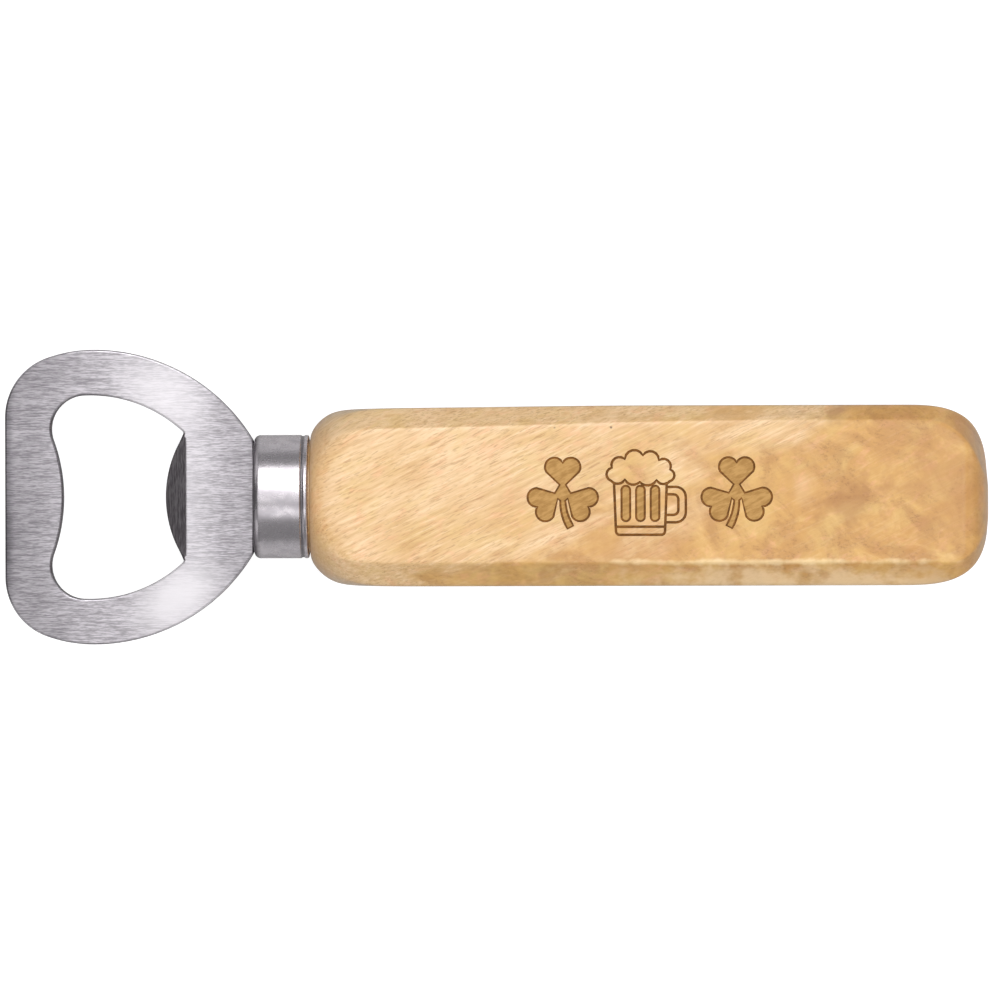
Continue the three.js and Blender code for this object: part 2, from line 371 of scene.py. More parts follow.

# %% [markdown]
# The ferrule is drawn from thinner sheet and polished on a soft wheel while it turns. What is
# left of the wheel's marks runs round it, so this noise is long across the axis and short
# along it. The corner by the head and the groove by the wood get painted shade, a dark grey laid
# into the colour.

# %% Polished steel for the ferrule
GROOVE = FERRULE_BACK - 0.95
# Painted shade: the dark grey laid into the ferrule's front corner and its groove.
PAINTED_SHADE_GREY = colour(70, 64, 68)
polished_steel, shader = new_finish("polished_steel")
rings = clouds(polished_steel, stretched(polished_steel, (4, 0.15, 0.15)), 3, 0.6)
smears = clouds(polished_steel, stretched(polished_steel, (0.35, 0.5, 0.5)), 3, 0.6)
ferrule_tone = blend_colours(
    polished_steel, between(polished_steel, smears, 0.35, 0.7),
    colour(228, 222, 227), colour(206, 200, 206))
wheel_relief = put(
    polished_steel, "ShaderNodeBump",
    {"Height": rings, "Strength": 0.2, "Distance": 0.02 * MM})
wheel_rough = between(polished_steel, smears, 0.3, 0.7, 0.24, 0.31)

along_x = put(
    polished_steel, "ShaderNodeSeparateXYZ",
    {0: put(polished_steel, "ShaderNodeTexCoord").outputs["Object"]}).outputs["X"]
# Painted shade: the corner by the head and the groove by the wood are darkened in the colour.
painted_shade_ferrule = between(
    polished_steel, along_x, (FERRULE_FRONT + 0.2) * MM, (FERRULE_FRONT + 1.3) * MM, 0.75, 0.0)
ferrule_tone = blend_colours(polished_steel, painted_shade_ferrule, ferrule_tone, PAINTED_SHADE_GREY)
off_groove = sums(
    polished_steel, "ABSOLUTE", sums(polished_steel, "SUBTRACT", along_x, GROOVE * MM), 0.0)
painted_shade_ferrule = between(polished_steel, off_groove, 0.1 * MM, 0.45 * MM, 0.7, 0.0)
ferrule_tone = blend_colours(polished_steel, painted_shade_ferrule, ferrule_tone, PAINTED_SHADE_GREY)
polished_steel.node_tree.links.new(ferrule_tone, shader.inputs["Base Color"])
polished_steel.node_tree.links.new(wheel_rough, shader.inputs["Roughness"])
polished_steel.node_tree.links.new(wheel_relief.outputs[0], shader.inputs["Normal"])
shader.inputs["Metallic"].default_value = 1.0
print("ferrule finish:", polished_steel.name)

# %% [markdown]
# ## Lacquered wood
#
# The handle is a pale, dense hardwood, turned from a piece that runs from straight-grained
# sapwood by the ferrule into burl at the butt. Four layers make it look like that wood: a slow
# change from cream to tan, silky streaks, the clouds of the burl, and small pores that lie along
# the grain like dashes. The grain crosses the handle at a slant, so the pattern is turned before
# it is stretched.

# %% From cream sapwood to tan burl
GRAIN_SLANT = -26
UPPER_FLAT = 2 * AXIS_HEIGHT
wood, shader = new_finish("lacquered_wood")
slant = (4, 0, GRAIN_SLANT)
drift = clouds(wood, stretched(wood, (0.05, 0.09, 0.09), slant), 3, 0.55, 0.6)
place = put(wood, "ShaderNodeTexCoord").outputs["Object"]
along = put(wood, "ShaderNodeSeparateXYZ", {0: place})
toward_butt = sums(wood, "ADD", sums(wood, "MULTIPLY", along.outputs["X"], 1 / MM),
                   between(wood, drift, 0.0, 1.0, -45, 45))
downhill = sums(wood, "MULTIPLY", along.outputs["Y"], -1.6 / MM)
heart = between(wood, sums(wood, "ADD", toward_butt, downhill), 4, 46)

cream = blend_colours(
    wood, between(wood, drift, 0.35, 0.7), colour(228, 194, 149), colour(214, 174, 121))
tan = blend_colours(
    wood, between(wood, drift, 0.3, 0.7), colour(198, 146, 78), colour(210, 164, 94))
wood_tone = blend_colours(wood, heart, cream, tan)

# A greenish yellow and a blush drift in and out, as in many pale woods.
tint = clouds(wood, stretched(wood, (0.12, 0.22, 0.22), slant, (9, 4, 1)), 3, 0.6, 0.4)
wood_tone = blend_colours(
    wood, between(wood, tint, 0.45, 0.7, 0.0, 0.45), wood_tone, colour(214, 180, 112))

blush = clouds(wood, stretched(wood, (0.3, 0.5, 0.5), slant, (3, 8, 5)), 3, 0.6, 0.6)
wood_tone = blend_colours(
    wood, between(wood, blush, 0.5, 0.72, 0.0, 0.4), wood_tone, colour(230, 170, 128))

# %% [markdown]
# The streaks follow the grain, and are strongest in the sapwood. Some are darker than the wood
# around them and some are lighter.

# %% Silky streaks
sapwood = between(wood, heart, 0.0, 1.0, 1.0, 0.2)
silk = clouds(wood, stretched(wood, (0.14, 1.9, 1.9), slant, (1, 5, 2)), 4, 0.65, 0.15)
dark_silk = sums(wood, "MULTIPLY", between(wood, silk, 0.47, 0.68, 0.0, 0.46), sapwood)
wood_tone = blend_colours(wood, dark_silk, wood_tone, colour(192, 144, 90))
light_silk = sums(wood, "MULTIPLY", between(wood, silk, 0.5, 0.3, 0.0, 0.5), sapwood)
wood_tone = blend_colours(wood, light_silk, wood_tone, colour(240, 211, 170))

# %% [markdown]
# The burl is a soft tangle of fibres. Its clouds, with fine specks in the dark ones, show only
# where the wood has already turned tan.

# %% Burl clouds and specks
burl = clouds(wood, stretched(wood, (0.13, 0.2, 0.2), (0, 0, 35), (3, 0, 0)), 5, 0.62, 0.7)
cloudy = sums(wood, "MULTIPLY", between(wood, burl, 0.42, 0.68), heart)
wood_tone = blend_colours(
    wood, sums(wood, "MULTIPLY", cloudy, 0.5), wood_tone, colour(164, 112, 60))
pale = sums(wood, "MULTIPLY", between(wood, burl, 0.45, 0.3), heart)
wood_tone = blend_colours(
    wood, sums(wood, "MULTIPLY", pale, 0.5), wood_tone, colour(228, 188, 122))
specks = clouds(wood, stretched(wood, (1.6, 2.4, 2.4)), 3, 0.7)
specked = sums(wood, "MULTIPLY", between(wood, specks, 0.52, 0.66), cloudy)
wood_tone = blend_colours(
    wood, sums(wood, "MULTIPLY", specked, 0.45), wood_tone, colour(138, 92, 50))

# %% [markdown]
# Every piece of wood has marks of its own. These are ovals of colour: two dark clouds in the
# burl, two brown streaks and a pale flank on the near side, a darker butt with a lighter orange
# edge that is partly painted highlight, a painted highlight along the edge between flat and
# chamfer, and two tiny pin knots.

# %% Single marks
for centre, size, turn, strength, shade in (
        ((57, -1.5, UPPER_FLAT), (8, 5, 5), 20, 0.5, (158, 106, 58)),
        ((55, 13, 20), (9, 3, 6), 0, 0.5, (150, 104, 66)),
        ((9, -11, 20), (17, 3.2, 6), 8, 0.55, (160, 116, 62)),
        ((20, -8.5, UPPER_FLAT), (15, 4.5, 5), 10, 0.6, (190, 138, 74)),
        ((50, -14, 19), (40, 4, 9), 0, 0.8, (236, 204, 158)),
        ((75, 2, UPPER_FLAT), (17, 18, 14), 0, 0.5, (180, 128, 74)),
        # The lighter orange rim at the end of the butt is partly the end grain's colour and partly
        # painted highlight.
        ((BUTT + 0.5, 0, 14), (3.5, 16, 12), 0, 0.6, (236, 168, 84)),
        # Painted highlight: a thin bright line along the edge between the flat and the near
        # chamfer.
        ((44, -10.8, UPPER_FLAT), (40, 0.75, 1), 0, 0.5, (252, 228, 180)),
        ((9.4, 11.0, UPPER_FLAT), (0.45, 0.45, 1), 0, 0.9, (96, 66, 40)),
        ((18.5, 11.0, UPPER_FLAT), (0.3, 0.3, 1), 0, 0.9, (96, 66, 40))):
    wood_mark_or_painted_highlight = sums(wood, "MULTIPLY", spot(wood, centre, size, turn, 0.5), strength)
    wood_tone = blend_colours(wood, wood_mark_or_painted_highlight, wood_tone, colour(*shade))

# %% [markdown]
# The turned shoulder shows end grain, which drinks more lacquer and looks darker. Last come the
# pores, which lie in clusters and are also a little sunken.

# %% End grain, pores and lacquer
end_grain = between(
    wood, along.outputs["X"], (WOOD_SHOULDER - 0.5) * MM, (WOOD_SHOULDER + 6) * MM, 0.55, 0.0)
wood_tone = blend_colours(wood, end_grain, wood_tone, colour(186, 138, 78))

pores = clouds(wood, stretched(wood, (0.5, 4.5, 4.5), slant), 2, 0.6, 0.1)
clusters = clouds(wood, stretched(wood, (0.12, 0.3, 0.3), slant, (7, 2, 4)), 2, 0.5)
dashes = sums(wood, "MULTIPLY", between(wood, pores, 0.52, 0.66),
              between(wood, clusters, 0.3, 0.6, 0.3, 1.0))
dashes = sums(wood, "MULTIPLY", dashes, sapwood)
wood_tone = blend_colours(
    wood, sums(wood, "MULTIPLY", dashes, 0.48), wood_tone, colour(164, 114, 64))

relief = put(
    wood, "ShaderNodeBump",
    {"Height": sums(wood, "MULTIPLY", dashes, -1.0), "Strength": 0.3,
     "Distance": 0.05 * MM})
wood.node_tree.links.new(wood_tone, shader.inputs["Base Color"])
wood.node_tree.links.new(relief.outputs[0], shader.inputs["Normal"])
wood.node_tree.links.new(
    between(wood, silk, 0.3, 0.7, 0.42, 0.5), shader.inputs["Roughness"])
shader.inputs["Coat Weight"].default_value = 0.7
shader.inputs["Coat Roughness"].default_value = 0.16
print("wood:", len(wood.node_tree.nodes), "nodes")

# %% [markdown]
# The picture is burnt in with a hot die. The broad areas are only toasted, while the fine lines
# turn brown, because the die presses harder there. A fine noise along the grain mottles both.

# %% Burnt wood for the picture
def burnt_wood(name, light, dark, rough):
    """Burnt wood between a light and a dark tone."""
    burnt, shader = new_finish(name)
    mottle = clouds(burnt, stretched(burnt, (0.6, 2.2, 2.2), (0, 0, GRAIN_SLANT)), 3, 0.6)
    tone = blend_colours(burnt, between(burnt, mottle, 0.35, 0.65), colour(*light), colour(*dark))
    burnt.node_tree.links.new(tone, shader.inputs["Base Color"])
    shader.inputs["Roughness"].default_value = rough
    return burnt


toasted_wood = burnt_wood("toasted_wood", (184, 142, 82), (160, 118, 60), 0.6)
scorched_wood = burnt_wood("scorched_wood", (134, 86, 32), (102, 64, 20), 0.7)

# %% [markdown]
# ## The head
#
# The head is a blank stamped from 3 mm steel: a broad loop with an opening, and a notched tang
# that ends up inside the handle. In one stroke a press also bends the opening's straight edge
# down into a tongue, which hooks under the rim of the cap.
#
# The blank is the same on both sides of the long axis. So one half is drawn as a single closed
# outline and filled, and then mirrored. The outline is made of a few arcs that run into each
# other, so most of it follows from their centres and radii.

# %% Sizes of the blank
PLATE = 3.0
CROWN = Vector((TIP + 14.5, 1.0))
FLANK = Vector((TIP + 14.5, -6.1))
CROWN_RADIUS = 23.0
FLANK_RADIUS = 30.1
SHOULDER_RADIUS = 1.5
TIP_CORNER = Vector((TIP + 10.28, 13.0))
ARCH = Vector((TIP + 13.7, -5.9))
ARCH_RADIUS = 22.5
LOBE = Vector((TIP + 13.0, 11.09))
LOBE_RADIUS = 5.5
FULCRUM_PEAK = TIP + 9.45
BEND_CORNER = 0.5
CORNER_INSET = 0.35
TANG_HALF = 4.5
TANG_CUT = 2.0
NOTCHES = (15.8, 24.8, 33.8)
NOTCH_HALF = 1.3
NOTCH_DEPTH = 1.3
COLUMNS = 22

shoulder_reach = FLANK_RADIUS - SHOULDER_RADIUS
shoulder_x = HEAD_SHOULDER - SHOULDER_RADIUS
shoulder_angle = math.degrees(math.acos((shoulder_x - FLANK.x) / shoulder_reach))
shoulder = Vector((shoulder_x, FLANK.y + shoulder_reach * math.sin(math.radians(shoulder_angle))))
crown_end = angle_of(TIP_CORNER - CROWN)

back = LOBE.x - FULCRUM_PEAK
fulcrum_radius = (back ** 2 + LOBE.y ** 2 - LOBE_RADIUS ** 2) / (2 * (LOBE_RADIUS - back))
FULCRUM = Vector((FULCRUM_PEAK - fulcrum_radius, 0.0))
fulcrum_end = angle_of(LOBE - FULCRUM)
lobe_end = angle_of(LOBE - ARCH)

bend_corner_x = BEND_LINE - CORNER_INSET - BEND_CORNER
bend_corner_rise = math.sqrt((ARCH_RADIUS - BEND_CORNER) ** 2 - (bend_corner_x - ARCH.x) ** 2)
bend_corner = Vector((bend_corner_x, ARCH.y + bend_corner_rise))
arch_end = angle_of(bend_corner - ARCH)

print("the opening's arch meets the bend line at", [round(n, 2) for n in bend_corner])

# %% The upper half of the blank
blank = bmesh.new()
pen = start_line(blank, TANG_END, 0)
pen = line_to(blank, pen, TANG_END, TANG_HALF - TANG_CUT)
pen = line_to(blank, pen, TANG_END - TANG_CUT, TANG_HALF)
for notch in reversed(NOTCHES):
    for x, y in ((NOTCH_HALF, 0), (NOTCH_HALF, NOTCH_DEPTH), (-NOTCH_HALF, NOTCH_DEPTH),
                 (-NOTCH_HALF, 0)):
        pen = line_to(blank, pen, HEAD_SHOULDER + notch + x, TANG_HALF - y)
pen = line_to(blank, pen, HEAD_SHOULDER, TANG_HALF)
pen = line_to(blank, pen, HEAD_SHOULDER, shoulder.y)
pen = arc_about(blank, pen, shoulder, shoulder_angle, 8)
pen = arc_about(blank, pen, FLANK, 90 - shoulder_angle, 32)
pen = arc_about(blank, pen, CROWN, crown_end - 90, 10)
pen = arc_about(blank, pen, TIP_CORNER, 180 - crown_end, 24)
pen = line_to(blank, pen, TIP, 0, 6)
pen = line_to(blank, pen, FULCRUM_PEAK, 0)
pen = arc_about(blank, pen, FULCRUM, fulcrum_end, 16)
pen = arc_about(blank, pen, LOBE, lobe_end - fulcrum_end - 180, 32)
pen = arc_about(blank, pen, ARCH, arch_end - lobe_end, 28)
pen = arc_about(blank, pen, bend_corner, -arch_end, 8)
BEND_HALF = pen.co.y
pen = line_to(blank, pen, BEND_LINE, 0, COLUMNS)
pen = line_to(blank, pen, TANG_END, 0)
fill_outline(blank)
bmesh.ops.mirror(
    blank, geom=blank.verts[:] + blank.edges[:] + blank.faces[:], axis="Y", merge_dist=1e-4)
bmesh.ops.recalc_face_normals(blank, faces=blank.faces)
bmesh.ops.translate(blank, verts=blank.verts, vec=(0, 0, PLATE / 2))
thicken(blank, blank.faces[:], PLATE)
print("blank", len(blank.faces), "faces")

# %% [markdown]
# Now the press comes down on the straight edge. That edge's wall is a row of narrow faces. Each
# extrusion of the row is one step round the bend or out along the tongue, and every vertex of
# the new row is put where the die would leave it. The bend is tight on the outside, and it
# fades out towards the two corners, where the metal is held by the plate.

# %% Bending the tongue
TONGUE_ANGLE = math.radians(35)
TONGUE_REACH = 3.95
TONGUE_DEPTH = 3.5
TONGUE_TIP = 2.2
NOSE_RADIUS = 16.9
BEND_OUTSIDE = 1.0
BEND_INSIDE = 0.3
BEND_STEPS = 5
BEND_FADE = 1.2
REACH_FADE = 0.8


def fade(distance, width):
    """Smoothly from 0 at no distance to 1 at the width and beyond."""
    t = min(max(distance / width, 0.0), 1.0)
    return t * t * (3 - 2 * t)


def tongue_place(y, top, turn, reach):
    """Where a point of the tongue lies: turn and reach go from 0 to 1 along it."""
    from_end = BEND_HALF - abs(y)
    angle = TONGUE_ANGLE * fade(from_end, BEND_FADE)
    drop = NOSE_RADIUS - math.sqrt(NOSE_RADIUS ** 2 - y ** 2)
    length = TONGUE_REACH * (1 - drop / TONGUE_DEPTH) * fade(from_end, REACH_FADE)
    line = BEND_LINE - CORNER_INSET * (1 - fade(from_end, BEND_FADE))
    half = math.tan(angle / 2)
    part = angle * turn
    along = Vector((-math.cos(angle), -math.sin(angle)))
    down = Vector((math.sin(angle), -math.cos(angle)))
    upper = Vector((line + BEND_OUTSIDE * half - BEND_OUTSIDE * math.sin(part),
                    PLATE / 2 - BEND_OUTSIDE * (1 - math.cos(part))))
    if top:
        return upper + along * length * reach
    lower = Vector((line + (PLATE + BEND_INSIDE) * half - BEND_INSIDE * math.sin(part),
                    -PLATE / 2 - BEND_INSIDE * (1 - math.cos(part))))
    if reach == 0:
        return lower
    tip = upper + along * length + down * (PLATE + (TONGUE_TIP - PLATE) * length / TONGUE_REACH)
    return lower.lerp(tip, reach)


def place_row(verts, turn, reach):
    """Put a row of vertices where the die leaves them."""
    for vert in verts:
        top = vert.co.z > (PLATE / 2 - 0.001) if turn == 0 else vert in row_tops
        x, z = tongue_place(vert.co.y, top, turn, reach)
        vert.co.x, vert.co.z = x, z


def on_bend_line(vert):
    """Whether a vertex belongs to the opening's straight edge."""
    off_line = BEND_LINE - vert.co.x
    return -0.01 < off_line < CORNER_INSET + 0.01 and abs(vert.co.y) < BEND_HALF + 0.001


# %% Pressing the row of faces, step by step
row = [face for face in blank.faces if all(on_bend_line(v) for v in face.verts)]
row_verts = {v for face in row for v in face.verts}
row_tops = {v for v in row_verts if v.co.z > 0}
place_row(row_verts, 0, 0)
steps = [(step / BEND_STEPS, 0) for step in range(1, BEND_STEPS + 1)]
steps += [(1, 0.5), (1, 1)]
for turn, reach in steps:
    tops = {(round(v.co.y, 4)): v for v in row_tops}
    pulled = bmesh.ops.extrude_face_region(blank, geom=row)["geom"]
    bmesh.ops.delete(blank, geom=row, context="FACES")
    row = [item for item in pulled if isinstance(item, bmesh.types.BMFace)]
    row_verts = {v for face in row for v in face.verts}
    row_tops = {v for v in row_verts if v.co.z > tops[round(v.co.y, 4)].co.z - 0.3}
    place_row(row_verts, turn, reach)
bmesh.ops.remove_doubles(blank, verts=blank.verts, dist=0.004)
bmesh.ops.dissolve_degenerate(blank, edges=blank.edges, dist=0.001)
bmesh.ops.recalc_face_normals(blank, faces=blank.faces)
print("open edges before rounding:", sum(1 for e in blank.edges if len(e.link_faces) != 2))
print("tongue drops to", round(min(v.co.z for v in blank.verts), 2), "mm below the axis")

# %% [markdown]
# A stamped edge would cut fingers, so it is tumbled until its edges are a third of a
# millimetre round. That thin round, with the painted shade of the wall steel on its steeper
# faces, draws the dark and bright lines round the loop. The edges to round are the ones where
# the flat meets the wall. Where rounds meet at the ends of the tongue, the bevel overshoots a
# little, so nothing may stand above the plate.

# %% Rounding the rims
RIM = 0.32


def is_rim(edge):
    """Whether an edge lies between a flat and a wall."""
    if len(edge.link_faces) != 2 or edge.calc_face_angle(0) < math.radians(50):
        return False
    a, b = edge.verts
    return abs(a.co.z - b.co.z) < 0.7 * edge.calc_length()


rims = [edge for edge in blank.edges if is_rim(edge)]
bmesh.ops.bevel(
    blank, geom=rims, offset=RIM, offset_type="OFFSET", segments=3, profile=0.5,
    affect="EDGES", clamp_overlap=False, material=-1)
for vert in blank.verts:
    vert.co.z = min(vert.co.z, PLATE / 2)
bmesh.ops.recalc_face_normals(blank, faces=blank.faces)

# %% Giving each face its steel
HEAD, TONGUE, WALL = range(3)
for face in blank.faces:
    face.smooth = abs(face.normal.z) < 0.9999
    centre = face.calc_center_median()
    on_tongue = BEND_LINE - 5 < centre.x < BEND_LINE + 0.1 and abs(centre.y) < BEND_HALF
    on_wall = abs(face.normal.z) < 0.7
    face.material_index = WALL if on_wall else TONGUE if on_tongue else HEAD
print("rounded", len(rims), "edges; open edges:",
      sum(1 for edge in blank.edges if len(edge.link_faces) != 2))

opener_head = to_object("stamped_head", blank)
for steel in (head_steel, shaded_tongue_steel, shaded_sheared_steel):
    opener_head.data.materials.append(steel)
hand_over(opener_head, "opener_head")

# %% [markdown]
# ## The ferrule
#
# The ferrule is a shallow cup drawn from thin steel. Its bottom faces the head and has a slot
# for the tang, and its open end is rolled over the wood with a groove and a bright lip. A
# profile that is spun round the long axis gives the whole cup, with its inside.

# %% The ferrule's profile, spun
FERRULE_RADIUS = ferrule_high.y
FERRULE_WALL = 0.55
INNER_RADIUS = FERRULE_RADIUS - FERRULE_WALL
FRONT_ROUND = 1.0
GROOVE_HALF = 0.35
GROOVE_DEPTH = 0.22
LIP = 0.3
AROUND = 144

cup = bmesh.new()
pen = start_line(cup, FERRULE_FRONT, 0)
pen = line_to(cup, pen, FERRULE_FRONT, FERRULE_RADIUS - FRONT_ROUND, 3)
pen = arc_about(cup, pen, (FERRULE_FRONT + FRONT_ROUND, FERRULE_RADIUS - FRONT_ROUND), -90, 8)
pen = line_to(cup, pen, GROOVE - GROOVE_HALF, FERRULE_RADIUS, 4)
pen = bulge_to(cup, pen, GROOVE + GROOVE_HALF, FERRULE_RADIUS, 100, 8)
pen = line_to(cup, pen, FERRULE_BACK - LIP, FERRULE_RADIUS)
pen = arc_about(cup, pen, (FERRULE_BACK - LIP, FERRULE_RADIUS - LIP), -90, 5)
pen = line_to(cup, pen, FERRULE_BACK, INNER_RADIUS)
pen = line_to(cup, pen, FERRULE_FRONT + FERRULE_WALL, INNER_RADIUS, 4)
pen = line_to(cup, pen, FERRULE_FRONT + FERRULE_WALL, 0, 3)
bmesh.ops.spin(
    cup, geom=cup.verts[:] + cup.edges[:], cent=(0, 0, 0), axis=(1, 0, 0),
    angle=math.tau, steps=AROUND, use_merge=True)
bmesh.ops.remove_doubles(cup, verts=cup.verts, dist=1e-4)
bmesh.ops.recalc_face_normals(cup, faces=cup.faces)
for face in cup.faces:
    face.smooth = True
ferrule = to_object("drawn_ferrule", cup)
ferrule.data.materials.append(polished_steel)

# %% The slot for the tang
def block(x0, x1, width, thickness):
    """A plain block on the axis."""
    mesh = bmesh.new()
    bmesh.ops.create_cube(mesh, size=1)
    bmesh.ops.scale(mesh, vec=(x1 - x0, width, thickness), verts=mesh.verts)
    bmesh.ops.translate(mesh, vec=((x0 + x1) / 2, 0, 0), verts=mesh.verts)
    return mesh


slot_punch = block(
    FERRULE_FRONT - 1, FERRULE_FRONT + 2, 2 * (TANG_HALF + GAP), PLATE + 2 * GAP)
cut_away(ferrule, to_object("slot_punch", slot_punch))
ferrule.data.set_sharp_from_angle(angle=math.radians(35))
hand_over(ferrule, "ferrule")

# %% [markdown]
# ## The handle
#
# The handle starts as a square bar. Its long edges are planed to 45 degree flats, the front is
# turned round on a lathe to meet the ferrule, and the butt is sanded to a full curve. Sanding
# softens every edge a little, and not evenly: the flat on one side narrows towards the butt.
#
# All these cuts are limits on how far the wood reaches from the axis in some direction. So a
# ring of vertices is extruded station by station along the axis, and each vertex goes out until
# the nearest limit stops it. Where two limits are close, the reach is rounded a little, which
# is what sandpaper does.

# %% The limits on a section of the handle
HALF_WIDTH = handle_high.y
HALF_HEIGHT = (handle_high.z - handle_low.z) / 2
CHAMFER = 3.9
SPIGOT_RADIUS = INNER_RADIUS - GAP
BUTT_CURVE = 14.4
BUTT_DROP = 5.0
SANDED = 110.0
TURNED_SOFT = 18.0


def half_width(x):
    """Half the width in plan, which closes in a full curve at the butt."""
    t = min(max((x - (BUTT - BUTT_CURVE)) / BUTT_CURVE, 0.0), 0.99999)
    return HALF_WIDTH * (1 - t ** 3) ** (1 / 3)


def half_height(x):
    """Half the thickness from the side, which drops over the last few millimetres."""
    t = min(max((x - (BUTT - BUTT_DROP)) / BUTT_DROP, 0.0), 0.99999)
    return HALF_HEIGHT * (1 - t ** 2.5) ** (1 / 2.5)


def corners(x):
    """The eight sharp corners of the section, round from the +Y side, as (y, z)."""
    w, h = half_width(x), half_height(x)
    near = w - 0.33 * (1 - fade(x + 22, 47)) * (w / HALF_WIDTH)
    spread = max(x - (BUTT - 10), 0.0)
    narrow = CHAMFER - 0.5 - 0.9 * fade(x + 22, 70) + 0.045 * spread ** 2
    wide = CHAMFER - 1.1 * fade(x - (BUTT - 11), 6)
    shrink = min(1.0, h / HALF_HEIGHT + 0.15)
    cuts = [min(c * shrink, 0.9 * w, 0.9 * h) for c in (narrow, wide, CHAMFER, CHAMFER)]
    upper_near, upper_far, lower_far, lower_near = cuts
    return [
        (near, h - upper_near), (near - upper_near, h), (-w + upper_far, h), (-w, h - upper_far),
        (-w, -h + lower_far), (-w + lower_far, -h), (near - lower_near, -h),
        (near, -h + lower_near),
    ]


def reach(corner_list, y, z, turned, sanded):
    """How far the wood goes from the axis towards (y, z), inside all its limits."""
    length = math.hypot(y, z)
    uy, uz = y / length, z / length
    total = 0.0
    for (ay, az), (by, bz) in zip(corner_list, corner_list[1:] + corner_list[:1]):
        ny, nz = bz - az, ay - by
        out = ny * uy + nz * uz
        if out > 1e-6:
            total += ((ny * ay + nz * az) / out) ** -sanded
    planed = total ** (-1 / sanded)
    if turned is None:
        return planed
    return (planed ** -TURNED_SOFT + turned ** -TURNED_SOFT) ** (-1 / TURNED_SOFT)


# %% Turning, planing and sanding the handle
SIDE_STEPS = (0, 0.02, 0.05, 0.1, 0.16, 0.23, 0.31, 0.4, 0.5, 0.6, 0.69, 0.77, 0.84, 0.9, 0.95,
              0.98)
SHOULDER_CURVE = ((0, 9.9), (0.6, 13), (8.5, 17))
SHOULDER_RINGS = 30
CLEAR_RINGS = 9
FLAT_RINGS = 24
BUTT_RINGS = 45


def shoulder_turning(t):
    """How far behind the wood's shoulder, and at what radius, the lathe cut."""
    p, q, r = SHOULDER_CURVE
    return [(1 - t) ** 2 * p[i] + 2 * t * (1 - t) * q[i] + t * t * r[i] for i in (0, 1)]


def place_ring(verts, x, turned, sanded):
    """Put a ring of vertices at a station, out to the nearest limit."""
    section = corners(max(x, WOOD_SHOULDER))
    points = []
    for a, b in zip(section, section[1:] + section[:1]):
        points += [(a[0] + (b[0] - a[0]) * s, a[1] + (b[1] - a[1]) * s) for s in SIDE_STEPS]
    for vert, (y, z) in zip(verts, points):
        far = reach(section, y, z, turned, sanded) / math.hypot(y, z)
        vert.co = (x, y * far, z * far)


# %% [markdown]
# Each station is its place along the axis, the radius to which the lathe cut there, and how
# sharp the sanded edges are. Stations are close together where the shape changes fast.

# %% The stations of the rings
stations = [
    (SPIGOT_FRONT, SPIGOT_RADIUS - 0.3, SANDED),
    (SPIGOT_FRONT + 0.3, SPIGOT_RADIUS, SANDED),
    (WOOD_SHOULDER, SPIGOT_RADIUS, SANDED),
]
for step in range(SHOULDER_RINGS + 1):
    behind, radius = shoulder_turning((step / SHOULDER_RINGS) ** 1.3)
    stations.append((WOOD_SHOULDER + behind, radius, SANDED))
for step in range(1, CLEAR_RINGS + 1):
    stations.append((WOOD_SHOULDER + behind + step, radius + 0.55 * step, SANDED))
clear = WOOD_SHOULDER + behind + CLEAR_RINGS
butt_start = BUTT - BUTT_CURVE
for step in range(1, FLAT_RINGS + 1):
    stations.append((clear + (butt_start - clear) * step / FLAT_RINGS, None, SANDED))
for step in range(1, BUTT_RINGS):
    angle = math.pi / 2 * step / BUTT_RINGS
    stations.append((butt_start + BUTT_CURVE * math.sin(angle), None,
                     SANDED - 40 * step / BUTT_RINGS))
print(len(stations), "stations")

# %% Extruding the bar from ring to ring
bar = bmesh.new()
ring = bmesh.ops.create_circle(bar, segments=8 * len(SIDE_STEPS), radius=1)["verts"]
place_ring(ring, *stations[0])
front_ring = ring
edges = bar.edges[:]
for station in stations[1:]:
    pulled = bmesh.ops.extrude_edge_only(bar, edges=edges)["geom"]
    edges = [item for item in pulled if isinstance(item, bmesh.types.BMEdge)]
    lookup = {}
    for item in pulled:
        if isinstance(item, bmesh.types.BMVert):
            lookup[tuple(round(c, 5) for c in item.co)] = item
    ring = [lookup[tuple(round(c, 5) for c in v.co)] for v in ring]
    place_ring(ring, *station)
bmesh.ops.contextual_create(bar, geom=front_ring)
bmesh.ops.contextual_create(bar, geom=ring)
bmesh.ops.recalc_face_normals(bar, faces=bar.faces)
for face in bar.faces:
    face.smooth = len(face.verts) < 5
print("handle", len(bar.faces), "faces; open edges:",
      sum(1 for edge in bar.edges if len(edge.link_faces) != 2))
handle = to_object("wooden_handle", bar)
handle.data.materials.append(wood)

# %% [markdown]
# The tang sits in epoxy in a pocket that is milled into the front of the spigot.

# %% The pocket for the tang and its glue
GLUE = 0.9
pocket = block(
    SPIGOT_FRONT - 1, TANG_END + 2 * GAP + GLUE, 2 * (TANG_HALF + 2 * GAP + GLUE),
    PLATE + 2 * (2 * GAP + GLUE))
cut_away(handle, to_object("pocket_cutter", pocket))
handle.data.set_sharp_from_angle(angle=math.radians(50))
print("pocket cut,", len(handle.data.polygons), "faces left")

# %% [markdown]
# ## The picture on the handle
#
# A hot die burns a picture into the upper flat: a mug of beer with its foam, between two
# shamrocks. It is drawn with the same two strokes as the blank. Closed shapes are filled and
# thickened into shallow stamps. Lines are turned into curves, which get a round thickness of
# nearly half a millimetre, like the raised lines of the die. Then both are cut out of the wood,
# and the fresh faces take the burnt finishes.

# %% Shapes on the die
PICTURE = Vector((23.2, 0.2))
SIDE_STEP = 14.0
HANDLE_ROOM = 1.5
SHAMROCK_SIZE = 1.5
TOAST_DEPTH = 0.16
FLUTES = (-2.35, 0.0, 2.35)
FLUTE_HALF = 0.66


